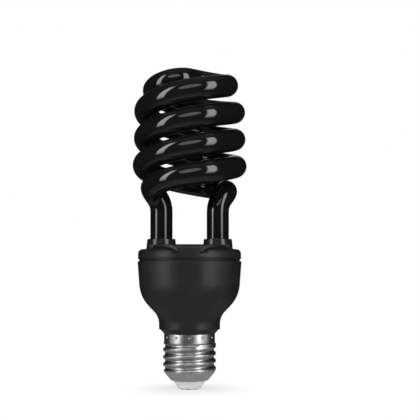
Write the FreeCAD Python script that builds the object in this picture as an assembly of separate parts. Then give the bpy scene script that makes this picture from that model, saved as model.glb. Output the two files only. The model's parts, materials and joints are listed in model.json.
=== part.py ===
import FreeCAD, Part
import math
import os

# Spiral compact fluorescent black-light lamp: one black filter-glass tube wound as a double spiral, a
# plastic ballast case in two pieces, the ballast inside it, and an E27 screw cap.
# Own frame, in millimetres: +Z up, the origin in the middle of the end contact's flat face, on the lamp's
# axis. The tube's two legs stand at +X and -X, and the lamp's front faces -Y. Angles are in degrees.

V = FreeCAD.Vector
UP = V(0, 0, 1)

# Overall sizes
OVERALL_HEIGHT = 160.0
COIL_RADIUS = 22.5            # lamp axis to the tube's centre line, first coil under the crossing
HOUSING_DIAMETER = 51.7       # at the housing's open top, its widest place

# Glass tube
TUBE_DIAMETER = 11.1
COIL_FLARE = 1.4              # how much further out the last coil runs than the first
COIL_BELLY = -0.8             # extra radius half way down
COIL_GAP = 2.3                # least space left between two coils
LEG_SPACING = 28.1            # between the centre lines of the two legs
LEG_SHOWN = 11.9              # straight leg above the collars
CROSSING_HEADING = 45.7       # direction in which the tube crosses the axis at the top
CROSSING_DROP = 3.3           # from the crossing down to where the first coil would pass +X
CROSSING_RATIO = 3.0          # first arc's reach over the second's, from the crossing to the coil
LEAD_IN_ANGLE = 58.0          # the coil starts this far after the leg's plane
LEAD_OUT_ANGLE = 51.0         # the coil ends this far before the leg's plane
BEND_DROP = 11.1              # from the last coil's level at the leg's plane to the top of the leg
STATION_ANGLE = 27.0          # about one station of the centre line per this much coil
PINCH_WIDTH = 8.0
PINCH_THICKNESS = 2.6
PINCH_LENGTH = 3.0
TUBE_FOOT_DEPTH = 3.0         # the round end of the tube hangs this far below the cover's shoulder

# Heights of the case and cap, from the end contact's face
CAP_NOSE_Z = 4.4              # lowest point of the screw shell
NOSE_TOP_Z = 9.0              # where the shell's nose turns into the thread
THREAD_TOP_Z = 22.5
SHELL_TOP_Z = 27.3
NECK_BOTTOM_Z = 29.6
NECK_TOP_Z = 35.6
SHOULDER_Z = 45.5             # housing's widest bend
SEAM_Z = 63.1                 # top edge of the housing
COVER_SHOULDER_Z = 69.0
PLATEAU_Z = 70.8
COLLAR_TOP_Z = 74.1

# Case
CASE_WALL = 1.6
HOUSING_TAPER = 1.35          # radius lost from the seam down to the shoulder
SHOULDER_BEND = 17.0
NECK_DIAMETER = 30.4
NECK_TAPER = 0.1
NECK_BEND = 8.5
SEAT_STEP = 0.9               # small ledge round the housing's foot
SEAM_OPEN = 0.9               # height of the groove between cover and housing
SEAM_DEPTH = 0.6
SKIRT_DEPTH = 4.0             # cover's skirt inside the housing
SKIRT_CLEARANCE = 0.12
SKIRT_WALL = 1.5
BEAD_HEIGHT = 0.3             # snap bead round the skirt
BEAD_DROP = 2.4               # from the seam down to the bead
BEAD_ROOT = 0.2               # how far the bead is sunk into the skirt
RIM_ROUND = 2.1
EDGE_ROUND = 0.5
OVAL_HALF_WIDTH = 18.75       # raised oval of the cover, side to side
OVAL_HALF_DEPTH = 26.3        # front to back, past the rim, which trims it
OVAL_ROUND = 0.45
COLLAR_WALL = 1.35
COLLAR_DRAFT = 0.5            # collar's foot is this much wider in radius
COLLAR_CLEARANCE = 0.12       # tube in its collar
CEMENT_THICKNESS = 1.0
CEMENT_LENGTH = 3.4

# E27 screw cap
THREAD_PITCH = 25.4 / 7
CREST_RADIUS = 13.1
ROOT_RADIUS = 12.1
SHELL_WALL = 0.35
THREAD_SKIM = 0.03            # the round crests are this much cut off, which leaves a narrow land
CREST_Z = 10.43               # height of a crest at +X
GROOVE_START = -260.0         # turn at which the groove comes in, at the back of the lamp
GROOVE_END = 990.0            # turn at which it starts to run out under the collar
CHANNEL_START = 0.0
CHANNEL_END = 1080.0
RUN_OUT = 6.0                 # straight run at each end, along which a groove leaves the shell
SHELL_COLLAR_RADIUS = 12.6
NOSE_BEND_Z = 8.5             # where the nose starts to draw in
NOSE_BEND_ROUND = 1.2
LIP_RADIUS = 9.2              # where the nose's cone meets its flat lip
LIP_ROUND = 1.0
LIP_CLEARANCE = 0.05          # round the insulator
STAKE_COUNT = 12
STAKE_Z = 25.8
STAKE_RADIUS = 0.9
STAKE_DEPTH = 0.4
SPIGOT_CLEARANCE = 0.1
SPIGOT_LENGTH = 10.5
INSULATOR_TOP_RADIUS = 8.1
INSULATOR_TIP_RADIUS = 5.5
INSULATOR_TIP_ROUND = 0.8
INSULATOR_FLANGE_RADIUS = 9.6
INSULATOR_TOP_Z = 7.4
INSULATOR_SLOPE = 1.0         # rise of the flange's underside, clear of the nose's cone
INSULATOR_CLEARANCE = 0.1     # under the shell's lip
CONTACT_RADIUS = 4.35
CONTACT_THICKNESS = 0.6
CONTACT_ROUND = 0.25
CONTACT_SHANK_RADIUS = 1.3
CONTACT_CLINCH = 0.7          # how far the clinched end spreads past the shank
CONTACT_TOP_Z = 8.8

# Ballast
BOARD_Z = 54.3                # underside of the circuit board, where its components hang
BOARD_THICKNESS = 1.2
BOARD_CLEARANCE = 0.4
HOLE_CLEARANCE = 0.1          # between a lead and its hole, all round
LEAD_STAND_OUT = 0.8          # how far a lead shows above the board
STAND_OFF = 0.6               # between a component's body and the board
LEAD_ROOT = 0.1               # how far a lead is sunk into its component
LEDGE_COUNT = 4
LEDGE_REACH = 2.6
LEDGE_THICKNESS = 1.4
CLAMP_ANGLE = 12.0            # width of each tab that holds the board down

# Where each component hangs: radius and angle of its middle, lead spacing and diameter. Its row of leads
# lies along the circle.
BULK_CAPACITOR_SEAT = (4.5, 0.0, 5.0, 0.6)
RESONANT_CAPACITOR_SEAT = (14.5, -90.0, 10.0, 0.6)
COUPLING_CAPACITOR_SEAT = (17.0, 137.0, 7.5, 0.6)
TRANSISTOR_SEATS = {"left": (14.0, -38.0, 2.3, 0.7), "right": (14.0, 38.0, 2.3, 0.7)}
DIODE_SEATS = [(19.5, angle, 2.0, 0.7) for angle in (-16.5, -5.5, 5.5, 16.5)]
RESISTOR_SEATS = [(18.0, angle, 2.4, 0.6) for angle in (-125.0, -139.0, -163.5)]
TRIGGER_DIODE_SEAT = (19.5, 180.0, 2.2, 0.5)
FUSE_AT = (5.0, -7.5)
FUSE_LEAD_DIAMETER = 0.7
FUSE_LEAD_LENGTH = 14.0       # from the board down to where the live wire joins it
NEUTRAL_AT = (-3.0, -9.0)
WIRE_DIAMETER = 0.9
LIVE_WIRE_BEND = 2.0
NEUTRAL_WIRE_BEND = 0.8
LIVE_WIRE_CROSSING = 5.0      # height over which the live wire crosses to the axis
RESONANT_CAPACITOR_SIZE = (13.0, 5.5, 10.5)     # width, thickness, height
COUPLING_CAPACITOR_SIZE = (10.0, 4.0, 8.0)
WRAP_PIN_AT = (16.8, 9.2)
WRAP_PIN_DIAMETER = 0.9
WRAP_PIN_HEIGHT = 3.0
WRAP_PIN_TAIL = 0.4            # below the board
ELECTRODE_WIRE_DIAMETER = 0.4
ELECTRODE_WIRE_SPACING = 4.6

# Choke: two E-shaped core halves round a bobbin with one winding
CHOKE_AT = (-7.0, 0.0)
CORE_WIDTH = 16.0
CORE_DEPTH = 5.0
CORE_HALF_HEIGHT = 7.2
CORE_BACK = 2.1
CORE_LEG = 2.05
CORE_CENTRE_LEG = 4.0
CORE_DROP = 0.9               # top of the core under the board
BOBBIN_CLEARANCE = 0.15
BOBBIN_WALL = 0.6
WINDING_HALF_DEPTH = 5.6
PIN_SPACING_X = 10.0
PIN_SPACING_Y = 10.2
PIN_DIAMETER = 0.7

# Toroid: a ring core with three windings of a few turns each
TOROID_SEAT = (15.5, 85.0)
TOROID_OUTER_RADIUS = 5.0
TOROID_INNER_RADIUS = 2.5
TOROID_HEIGHT = 4.5
TOROID_WIRE = 0.5
TOROID_TURN_ANGLE = 20.0
TOROID_BEND = 0.6
TOROID_WINDINGS = {"first_base": (3, 0.0), "second_base": (3, 110.0), "main": (5, 220.0)}


def ring_point(radius, angle, z=0.0):
    """Point at a radius and an angle round the lamp's axis."""
    a = math.radians(angle)
    return V(radius * math.cos(a), radius * math.sin(a), z)


def tangent_run(points, radii, closed=False):
    """Straight runs joined by tangent arcs: each point of the route is rounded by its own radius."""
    corners = []
    for k, (point, radius) in enumerate(zip(points, radii)):
        if radius == 0:
            corners.append((point, None, point))
            continue
        back = (points[k - 1] - point).normalize()
        ahead = (points[(k + 1) % len(points)] - point).normalize()
        half = back.getAngle(ahead) / 2
        inward = (back + ahead).normalize()
        reach = radius / math.tan(half)
        middle = point + inward * (radius / math.sin(half) - radius)
        corners.append((point + back * reach, middle, point + ahead * reach))
    edges = []
    for k, (start, middle, end) in enumerate(corners):
        if middle is not None:
            edges.append(Part.Arc(start, middle, end).toShape())
        if k + 1 < len(corners) or closed:
            following = corners[(k + 1) % len(corners)][0]
            if (following - end).Length > 1e-6:
                edges.append(Part.LineSegment(end, following).toShape())
    return edges


def turned(outline):
    """Solid turned about the lamp's axis from (radius, height) or (radius, height, rounding) corners."""
    points = [V(corner[0], 0, corner[1]) for corner in outline]
    radii = [corner[2] if len(corner) > 2 else 0 for corner in outline]
    face = Part.Face(Part.Wire(tangent_run(points, radii, closed=True)))
    return face.revolve(V(0, 0, 0), UP, 360)


def inset(before, corner, after, wall):
    """Corner of an outline moved inwards by a wall, to the right of the way it runs."""
    first = (corner[0] - before[0], corner[1] - before[1])
    second = (after[0] - corner[0], after[1] - corner[1])
    first_length, second_length = math.hypot(*first), math.hypot(*second)
    n1 = (first[1] / first_length, -first[0] / first_length)
    n2 = (second[1] / second_length, -second[0] / second_length)
    share = wall / (1 + n1[0] * n2[0] + n1[1] * n2[1])
    return (corner[0] + (n1[0] + n2[0]) * share, corner[1] + (n1[1] + n2[1]) * share)


def rounded_block(width, depth, height, rounding, centre, angle=0.0):
    """Upright block with rounded upright edges, its underside's middle at centre, turned about Z."""
    x, y = width / 2, depth / 2
    points = [V(-x, -y, 0), V(x, -y, 0), V(x, y, 0), V(-x, y, 0)]
    face = Part.Face(Part.Wire(tangent_run(points, [rounding] * 4, closed=True)))
    block = face.extrude(V(0, 0, height))
    block.rotate(V(0, 0, 0), UP, angle)
    block.translate(centre)
    return block


def swept_round(edges, diameter):
    """Round bar or wire along a chain of lines and arcs."""
    wire = Part.Wire(edges)
    start = wire.OrderedEdges[0]
    tangent = start.tangentAt(start.FirstParameter)
    section = Part.Wire(Part.Circle(wire.OrderedVertexes[0].Point, tangent, diameter / 2).toShape())
    pipe = Part.BRepOffsetAPI.MakePipeShell(wire)
    pipe.setFrenetMode(False)
    pipe.add(section, False, False)
    pipe.build()
    pipe.makeSolid()
    return pipe.shape()


def bent_wire(points, bend, diameter):
    """Wire through the given points, each inner one rounded by the same bend."""
    radii = [0] + [bend] * (len(points) - 2) + [0]
    return swept_round(tangent_run(points, radii), diameter)


def arc_edge(start, corner, end):
    """Arc that leaves start towards corner and reaches end from it, both at the same distance."""
    chord_middle = (start + end) * 0.5
    half = (corner - start).getAngle(end - corner) / 2
    middle = chord_middle + (corner - chord_middle) * (math.cos(half) / (1 + math.cos(half)))
    return Part.Arc(start, middle, end).toShape()


def arc_pair(first, second, ratio=1.0):
    """Two arcs, tangent to each other, between two stations, each a point and a unit direction."""
    (p1, t1), (p2, t2) = first, second
    gap = p2 - p1
    mixed = t1 * ratio + t2
    a = 2 * ratio * (t1.dot(t2) - 1)
    b = -2 * gap.dot(mixed)
    reach_2 = (-b - math.sqrt(b * b - 4 * a * gap.dot(gap))) / (2 * a)
    reach_1 = ratio * reach_2
    corner_1 = p1 + t1 * reach_1
    corner_2 = p2 - t2 * reach_2
    joint = corner_1 + (corner_2 - corner_1) * (reach_1 / (reach_1 + reach_2))
    return [arc_edge(p1, corner_1, joint), arc_edge(joint, corner_2, p2)]


# Spiral tube
# One arm of the tube is half of it: from the crossing on the axis, round the coils, down to its foot. The
# other arm is the same arm turned half a turn.

TUBE_RADIUS = TUBE_DIAMETER / 2
CROSSING_Z = OVERALL_HEIGHT - TUBE_RADIUS
LEG_TOP_Z = COLLAR_TOP_Z + LEG_SHOWN
COIL_SPACE = CROSSING_Z - CROSSING_DROP - BEND_DROP - LEG_TOP_Z
HALF_TURNS = max(1, math.floor(COIL_SPACE / (TUBE_DIAMETER + COIL_GAP)))
COIL_STEP = COIL_SPACE / HALF_TURNS      # from one coil to the next, which belongs to the other arm
FOOT_Z = COVER_SHOULDER_Z - TUBE_FOOT_DEPTH


def coil_station(turn):
    """Point and downward direction of an arm's centre line, turn degrees clockwise from above."""
    def point(angle):
        share = angle / (180.0 * HALF_TURNS)
        radius = COIL_RADIUS + COIL_FLARE * share + COIL_BELLY * 4 * share * (1 - share)
        height = CROSSING_Z - CROSSING_DROP - COIL_STEP * angle / 180.0
        return ring_point(radius, -angle, height)
    return point(turn), (point(turn + 0.05) - point(turn - 0.05)).normalize()


def arm_edges():
    """Centre line of one arm, from the crossing down to the leg's foot, as true arcs and one line."""
    last_turn = 180.0 * HALF_TURNS - LEAD_OUT_ANGLE
    count = max(2, round((last_turn - LEAD_IN_ANGLE) / STATION_ANGLE))
    turns = [LEAD_IN_ANGLE + (last_turn - LEAD_IN_ANGLE) * k / count for k in range(count + 1)]
    coil = [coil_station(turn) for turn in turns]
    side = 1 if HALF_TURNS % 2 == 0 else -1
    leg_top = V(side * LEG_SPACING / 2, 0, LEG_TOP_Z)
    crossing = (V(0, 0, CROSSING_Z), ring_point(1, CROSSING_HEADING))
    edges = arc_pair(crossing, coil[0], CROSSING_RATIO)
    for here, following in zip(coil, coil[1:]):
        edges += arc_pair(here, following)
    edges += arc_pair(coil[-1], (leg_top, V(0, 0, -1)))
    edges.append(Part.LineSegment(leg_top, V(leg_top.x, 0, FOOT_Z)).toShape())
    return edges


def pinch_seal(side):
    """Round end of the tube with its flat pressed seal, where the two lead wires come out."""
    centre = V(side * LEG_SPACING / 2, 0, FOOT_Z)
    end = Part.makeSphere(TUBE_RADIUS, centre)
    height = TUBE_RADIUS + PINCH_LENGTH
    press = rounded_block(PINCH_THICKNESS, PINCH_WIDTH, height, PINCH_THICKNESS / 3, centre - UP * height)
    return end.fuse(press)


def spiral_tube():
    arm = arm_edges()
    half_turn = FreeCAD.Placement(V(0, 0, 0), FreeCAD.Rotation(UP, 180))
    other = [edge.copy() for edge in arm]
    for edge in other:
        edge.Placement = half_turn.multiply(edge.Placement)
    glass = swept_round(Part.__sortEdges__(other + arm), TUBE_DIAMETER)
    return glass.fuse([pinch_seal(-1), pinch_seal(1)]).removeSplitter()


# Case

HOUSING_RADIUS = HOUSING_DIAMETER / 2
NECK_RADIUS = NECK_DIAMETER / 2
SPIGOT_RADIUS = SHELL_COLLAR_RADIUS - SHELL_WALL - SPIGOT_CLEARANCE
SPIGOT_TIP_RADIUS = ROOT_RADIUS - SHELL_WALL - SPIGOT_CLEARANCE
HOUSING_TOP = (HOUSING_RADIUS, SEAM_Z)
HOUSING_BEND = (HOUSING_RADIUS - HOUSING_TAPER, SHOULDER_Z)
NECK_TOP = (NECK_RADIUS, NECK_TOP_Z)
NECK_FOOT = (NECK_RADIUS - NECK_TAPER, NECK_BOTTOM_Z)


def housing_bore(z):
    """Inner radius of the housing's tapered wall above its shoulder."""
    share = (SEAM_Z - z) / (SEAM_Z - SHOULDER_Z)
    return HOUSING_RADIUS - HOUSING_TAPER * share - CASE_WALL


def stakes(radius):
    """Round punch tips of the given radius, all round the shell's collar."""
    reach = SHELL_COLLAR_RADIUS - STAKE_DEPTH + STAKE_RADIUS
    angles = [270 + 360 / STAKE_COUNT * k for k in range(STAKE_COUNT)]
    return [Part.makeSphere(radius, ring_point(reach, angle, STAKE_Z)) for angle in angles]


def ballast_housing():
    """Cup that tapers into a neck, with a spigot for the screw shell and ledges for the board."""
    inner_top = (HOUSING_RADIUS - CASE_WALL, SEAM_Z)
    inner_bend = inset(HOUSING_TOP, HOUSING_BEND, NECK_TOP, CASE_WALL)
    inner_neck = inset(HOUSING_BEND, NECK_TOP, NECK_FOOT, CASE_WALL)
    bore = SPIGOT_TIP_RADIUS - CASE_WALL
    tip_z = SHELL_TOP_Z - SPIGOT_LENGTH
    wide_end_z = THREAD_TOP_Z + 2 * EDGE_ROUND
    body = turned([
        (inner_top[0], SEAM_Z), (HOUSING_RADIUS, SEAM_Z, EDGE_ROUND),
        HOUSING_BEND + (SHOULDER_BEND,), NECK_TOP + (NECK_BEND,), NECK_FOOT + (EDGE_ROUND,),
        (NECK_FOOT[0] - SEAT_STEP, NECK_BOTTOM_Z - EDGE_ROUND),
        (SHELL_COLLAR_RADIUS, SHELL_TOP_Z), (SPIGOT_RADIUS, SHELL_TOP_Z),
        (SPIGOT_RADIUS, wide_end_z), (SPIGOT_TIP_RADIUS, wide_end_z),
        (SPIGOT_TIP_RADIUS, tip_z), (bore, tip_z), (bore, NECK_BOTTOM_Z - EDGE_ROUND),
        (inner_neck[0] - NECK_TAPER, NECK_BOTTOM_Z + CASE_WALL),
        inner_neck + (NECK_BEND + CASE_WALL,), inner_bend + (SHOULDER_BEND - CASE_WALL,)])
    for k in range(LEDGE_COUNT):
        body = body.fuse(board_ledge(45 + 360 / LEDGE_COUNT * k))
    body = body.cut(snap_bead(SKIRT_CLEARANCE))
    pits = stakes(STAKE_RADIUS + SHELL_WALL + SPIGOT_CLEARANCE)
    return body.cut(pits).removeSplitter()


def board_ledge(angle):
    """Upright rib on the housing's inner wall, on which the circuit board rests."""
    wall_radius = housing_bore(BOARD_Z) + CASE_WALL / 2
    tip_radius = housing_bore(BOARD_Z) - LEDGE_REACH
    foot = (housing_bore(SHOULDER_Z) + CASE_WALL / 2, SHOULDER_Z)
    points = [V(tip_radius, 0, BOARD_Z), V(wall_radius, 0, BOARD_Z), V(foot[0], 0, foot[1])]
    rib = Part.Face(Part.makePolygon(points + points[:1])).extrude(V(0, LEDGE_THICKNESS, 0))
    rib.translate(V(0, -LEDGE_THICKNESS / 2, 0))
    rib.rotate(V(0, 0, 0), UP, angle)
    return rib


def skirt_radius():
    return housing_bore(SEAM_Z - SKIRT_DEPTH) - SKIRT_CLEARANCE


def snap_bead(clearance):
    """Half-round bead low on the cover's skirt, or with a clearance the groove that it snaps into."""
    z = SEAM_Z - BEAD_DROP
    r = skirt_radius()
    height = BEAD_HEIGHT + SKIRT_CLEARANCE + clearance
    return turned([(r - BEAD_ROOT, z - 2 * height), (r, z - 2 * height), (r + height, z, height / 2),
                   (r, z + 2 * height), (r - BEAD_ROOT, z + 2 * height)])


def collar(side):
    """Tapered collar round one leg, from inside the cover up to its top."""
    bore = TUBE_RADIUS + COLLAR_CLEARANCE
    outer = bore + COLLAR_WALL
    bottom_z = COVER_SHOULDER_Z - CEMENT_LENGTH
    foot = outer + COLLAR_DRAFT
    solid = turned([(0, bottom_z), (foot, bottom_z), (foot, COVER_SHOULDER_Z),
                    (outer, COLLAR_TOP_Z, EDGE_ROUND / 2), (0, COLLAR_TOP_Z)])
    solid.translate(V(side * LEG_SPACING / 2, 0, 0))
    return solid


def collar_bore(side):
    """Way through a collar for its leg, wider below, where the cement goes."""
    bore = TUBE_RADIUS + COLLAR_CLEARANCE
    wide = TUBE_RADIUS + CEMENT_THICKNESS
    bottom_z = COVER_SHOULDER_Z - CEMENT_LENGTH
    solid = turned([(0, bottom_z - 1), (wide, bottom_z - 1), (wide, COVER_SHOULDER_Z),
                    (bore, COVER_SHOULDER_Z), (bore, COLLAR_TOP_Z + 1), (0, COLLAR_TOP_Z + 1)])
    solid.translate(V(side * LEG_SPACING / 2, 0, 0))
    return solid


def cover_dish(rim, top_z, seam_z):
    """Plain round cap with a rounded edge, from the seam up to the given top."""
    return turned([(0, seam_z), (rim, seam_z, EDGE_ROUND), (rim, top_z, RIM_ROUND), (0, top_z)])


def plateau(rim, top_z):
    """Raised oval across the cover, trimmed flush with the rim at the front and the back."""
    oval = Part.Ellipse(V(0, OVAL_HALF_DEPTH, 0), V(OVAL_HALF_WIDTH, 0, 0), V(0, 0, 0)).toShape()
    block = Part.Face(Part.Wire(oval)).extrude(V(0, 0, top_z))
    block = block.makeFillet(OVAL_ROUND, [edge for edge in block.Edges if edge.BoundBox.ZMin > top_z / 2])
    return block.common(cover_dish(rim, top_z, SEAM_Z + SEAM_OPEN))


def ballast_cover():
    """Cap of the case: round shoulder, raised oval, two collars, a skirt that snaps into the housing."""
    rim = HOUSING_RADIUS - EDGE_ROUND / 2
    under = SEAM_Z + SEAM_OPEN
    skirt = skirt_radius()
    body = cover_dish(rim, COVER_SHOULDER_Z, under).fuse([plateau(rim, PLATEAU_Z), collar(-1), collar(1)])
    hollow = turned([(0, under - 1), (skirt - SKIRT_WALL, under - 1),
                     (skirt - SKIRT_WALL, COVER_SHOULDER_Z - CASE_WALL, RIM_ROUND),
                     (0, COVER_SHOULDER_Z - CASE_WALL)])
    body = body.cut(hollow)
    ring_inner = skirt - SKIRT_WALL
    skirt_ring = turned([(ring_inner, SEAM_Z - SKIRT_DEPTH), (skirt, SEAM_Z - SKIRT_DEPTH), (skirt, SEAM_Z),
                         (rim - SEAM_DEPTH, SEAM_Z), (rim - SEAM_DEPTH, under + EDGE_ROUND),
                         (ring_inner, under + EDGE_ROUND)])
    sleeves = [collar(side).cut(collar_bore(side)) for side in (-1, 1)]
    body = body.fuse([skirt_ring, snap_bead(0)] + sleeves + board_clamps())
    return body.cut([collar_bore(-1), collar_bore(1)]).removeSplitter()


def board_clamps():
    """Tabs of the skirt that reach down to the circuit board and hold it on its ledges."""
    bottom_z = BOARD_Z + BOARD_THICKNESS
    skirt_z = SEAM_Z - SKIRT_DEPTH
    inner = skirt_radius() - SKIRT_WALL
    outer = min(skirt_radius(), housing_bore(bottom_z) - SKIRT_CLEARANCE)
    outline = [V(inner, 0, bottom_z), V(outer, 0, bottom_z), V(outer, 0, skirt_z), V(inner, 0, skirt_z)]
    tabs = []
    for k in range(LEDGE_COUNT):
        tab = Part.Face(Part.makePolygon(outline + outline[:1])).revolve(V(0, 0, 0), UP, CLAMP_ANGLE)
        tab.rotate(V(0, 0, 0), UP, 45 + 360 / LEDGE_COUNT * k - CLAMP_ANGLE / 2)
        tabs.append(tab)
    return tabs


def tube_cement(side):
    """Ring of cement that holds a leg in its collar."""
    wide = TUBE_RADIUS + CEMENT_THICKNESS
    bottom_z = COVER_SHOULDER_Z - CEMENT_LENGTH
    solid = turned([(TUBE_RADIUS, bottom_z), (wide, bottom_z), (wide, COVER_SHOULDER_Z),
                    (TUBE_RADIUS, COVER_SHOULDER_Z)])
    solid.translate(V(side * LEG_SPACING / 2, 0, 0))
    return solid


# Screw cap
# The shell is rolled from sheet: a round groove outside and, half a pitch on, a round channel inside. In
# section the wall is a wave of tangent arcs. Crests are cut off by the skim, which leaves a narrow land.

CREST_TOP = CREST_RADIUS + THREAD_SKIM
WAVE_DEPTH = CREST_TOP - ROOT_RADIUS
ARC_SUM = (1 + (THREAD_PITCH / 2 / WAVE_DEPTH) ** 2) * WAVE_DEPTH / 2
CREST_ROUND = ARC_SUM / 2
ROOT_ROUND = ARC_SUM - CREST_ROUND


def wave_outline(outside, z):
    """Closed outline of the groove cutter, outside the shell or inside it, about the height z."""
    side = 1 if outside else -1
    crest_centre = CREST_TOP - CREST_ROUND
    root_centre = ROOT_RADIUS + ROOT_ROUND
    tip_centre, edge_centre = (root_centre, crest_centre) if outside else (crest_centre, root_centre)
    tip_round = ROOT_ROUND if outside else CREST_ROUND - SHELL_WALL
    edge_round = CREST_ROUND if outside else ROOT_ROUND + SHELL_WALL
    tip = tip_centre - side * tip_round
    edge = edge_centre + side * edge_round - side * THREAD_SKIM / 2
    away = edge + side
    share = tip_round / (tip_round + edge_round)
    meet = (tip_centre + (edge_centre - tip_centre) * share, THREAD_PITCH / 2 * share)
    end_angle = math.acos((edge - edge_centre) * side / edge_round)
    meet_angle = math.acos((meet[0] - edge_centre) * side / edge_round)
    middle_angle = (end_angle + meet_angle) / 2
    end = (edge, THREAD_PITCH / 2 - edge_round * math.sin(end_angle))
    middle = (edge_centre + side * edge_round * math.cos(middle_angle),
              THREAD_PITCH / 2 - edge_round * math.sin(middle_angle))
    low = [V(r, 0, z - h) for r, h in (end, middle, meet)]
    high = [V(r, 0, z + h) for r, h in (meet, middle, end)]
    far = [V(away, 0, high[2].z), V(away, 0, low[0].z)]
    lines = [high[2], far[0], far[1], low[0]]
    edges = [Part.Arc(*low).toShape(), Part.Arc(low[2], V(tip, 0, z), high[0]).toShape(),
             Part.Arc(*high).toShape()]
    edges += [Part.LineSegment(a, b).toShape() for a, b in zip(lines, lines[1:])]
    return Part.Wire(edges)


def thread_cutter(outside, start, end, run_outs):
    """Groove cutter swept up a right-hand helix, between two turns in degrees from +X."""
    crest_offset = THREAD_PITCH / 2 if outside else 0
    start_z = CREST_Z + crest_offset + THREAD_PITCH * start / 360
    path_radius = ROOT_RADIUS
    helix = Part.makeLongHelix(THREAD_PITCH, THREAD_PITCH * (end - start) / 360, path_radius, 0, False)
    edges = helix.OrderedEdges
    if run_outs:
        rise = THREAD_PITCH / (2 * math.pi * path_radius)
        slope = math.hypot(1, rise)
        last = ring_point(path_radius, end - start, THREAD_PITCH * (end - start) / 360)
        ahead = ring_point(1, end - start + 90) + UP * rise
        first = V(path_radius, 0, 0)
        back = V(0, -1, -rise)
        edges = [Part.LineSegment(first + back * (RUN_OUT / slope), first).toShape()] + edges
        edges += [Part.LineSegment(last, last + ahead * (RUN_OUT / slope)).toShape()]
    pipe = Part.BRepOffsetAPI.MakePipeShell(Part.Wire(edges))
    pipe.setBiNormalMode(UP)
    profile = wave_outline(outside, 0)
    if run_outs:
        profile.translate(edges[0].Vertexes[0].Point - V(path_radius, 0, 0))
    pipe.add(profile, False, False)
    pipe.build()
    pipe.makeSolid()
    cutter = pipe.shape()
    cutter.rotate(V(0, 0, 0), UP, start)
    cutter.translate(V(0, 0, start_z))
    return cutter


def screw_shell():
    """Rolled metal shell: plain collar with stake marks, round thread, and a nose that turns in."""
    bore = ROOT_RADIUS - SHELL_WALL + THREAD_SKIM
    step = CREST_RADIUS - SHELL_COLLAR_RADIUS
    nose_top, nose_bend = (SHELL_COLLAR_RADIUS, NOSE_TOP_Z), (SHELL_COLLAR_RADIUS, NOSE_BEND_Z)
    lip, lip_hole = (LIP_RADIUS, CAP_NOSE_Z), (INSULATOR_TOP_RADIUS + LIP_CLEARANCE, CAP_NOSE_Z)
    inner_bend = inset(nose_top, nose_bend, lip, SHELL_WALL)
    inner_lip = inset(nose_bend, lip, lip_hole, SHELL_WALL)
    collar_bore_radius = SHELL_COLLAR_RADIUS - SHELL_WALL
    body = turned([
        (collar_bore_radius, SHELL_TOP_Z), (SHELL_COLLAR_RADIUS, SHELL_TOP_Z),
        (SHELL_COLLAR_RADIUS, THREAD_TOP_Z + step), (CREST_RADIUS, THREAD_TOP_Z),
        (CREST_RADIUS, NOSE_TOP_Z + step), nose_top, (*nose_bend, NOSE_BEND_ROUND),
        (*lip, LIP_ROUND), lip_hole, (lip_hole[0], CAP_NOSE_Z + SHELL_WALL),
        (*inner_lip, LIP_ROUND - SHELL_WALL), (*inner_bend, NOSE_BEND_ROUND - SHELL_WALL),
        (collar_bore_radius, NOSE_TOP_Z), (bore, NOSE_TOP_Z + step),
        (bore, THREAD_TOP_Z), (collar_bore_radius, THREAD_TOP_Z + step)])
    body = body.cut(thread_cutter(True, GROOVE_START, GROOVE_END, True))
    body = body.cut(thread_cutter(False, CHANNEL_START, CHANNEL_END, False))
    bumps = stakes(STAKE_RADIUS + SHELL_WALL)
    within_wall = collar_bore_radius + SHELL_WALL / 2
    inner = Part.makeCylinder(within_wall, SHELL_TOP_Z - THREAD_TOP_Z, UP * THREAD_TOP_Z)
    body = body.fuse([bump.common(inner) for bump in bumps])
    return body.cut(stakes(STAKE_RADIUS)).removeSplitter()


def base_insulator():
    """Insulating plug in the shell's nose: a cone below and a flange inside, with the contact's hole."""
    hole = CONTACT_SHANK_RADIUS + SPIGOT_CLEARANCE
    seat_z = CAP_NOSE_Z + SHELL_WALL
    neck = INSULATOR_TOP_RADIUS
    return turned([
        (hole, CONTACT_THICKNESS), (INSULATOR_TIP_RADIUS, CONTACT_THICKNESS, INSULATOR_TIP_ROUND),
        (neck, CAP_NOSE_Z - INSULATOR_CLEARANCE), (neck, seat_z),
        (INSULATOR_FLANGE_RADIUS, seat_z + INSULATOR_SLOPE, INSULATOR_SLOPE / 2),
        (INSULATOR_FLANGE_RADIUS, INSULATOR_TOP_Z, EDGE_ROUND), (hole, INSULATOR_TOP_Z)])


def centre_contact():
    """Rivet: flat head under the insulator, shank through it, clinched end above."""
    clinch = CONTACT_SHANK_RADIUS + CONTACT_CLINCH
    return turned([
        (0, 0), (CONTACT_RADIUS, 0, CONTACT_ROUND), (CONTACT_RADIUS, CONTACT_THICKNESS, CONTACT_ROUND),
        (CONTACT_SHANK_RADIUS, CONTACT_THICKNESS), (CONTACT_SHANK_RADIUS, INSULATOR_TOP_Z),
        (clinch, INSULATOR_TOP_Z), (clinch - CONTACT_CLINCH / 2, CONTACT_TOP_Z, CONTACT_ROUND),
        (0, CONTACT_TOP_Z)])


# Ballast

BOARD_TOP_Z = BOARD_Z + BOARD_THICKNESS
LEAD_TOP_Z = BOARD_TOP_Z + LEAD_STAND_OUT
CORE_TOP_Z = BOARD_Z - CORE_DROP
CORE_BOTTOM_Z = CORE_TOP_Z - 2 * CORE_HALF_HEIGHT
CORE_WINDOW = (CORE_WIDTH - CORE_CENTRE_LEG) / 2 - CORE_LEG
PINCH_Z = FOOT_Z - TUBE_RADIUS - PINCH_LENGTH
FUSE_LEAD_Z = BOARD_Z - FUSE_LEAD_LENGTH
TOROID_TOP_Z = BOARD_Z - STAND_OFF - TOROID_WIRE


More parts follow.
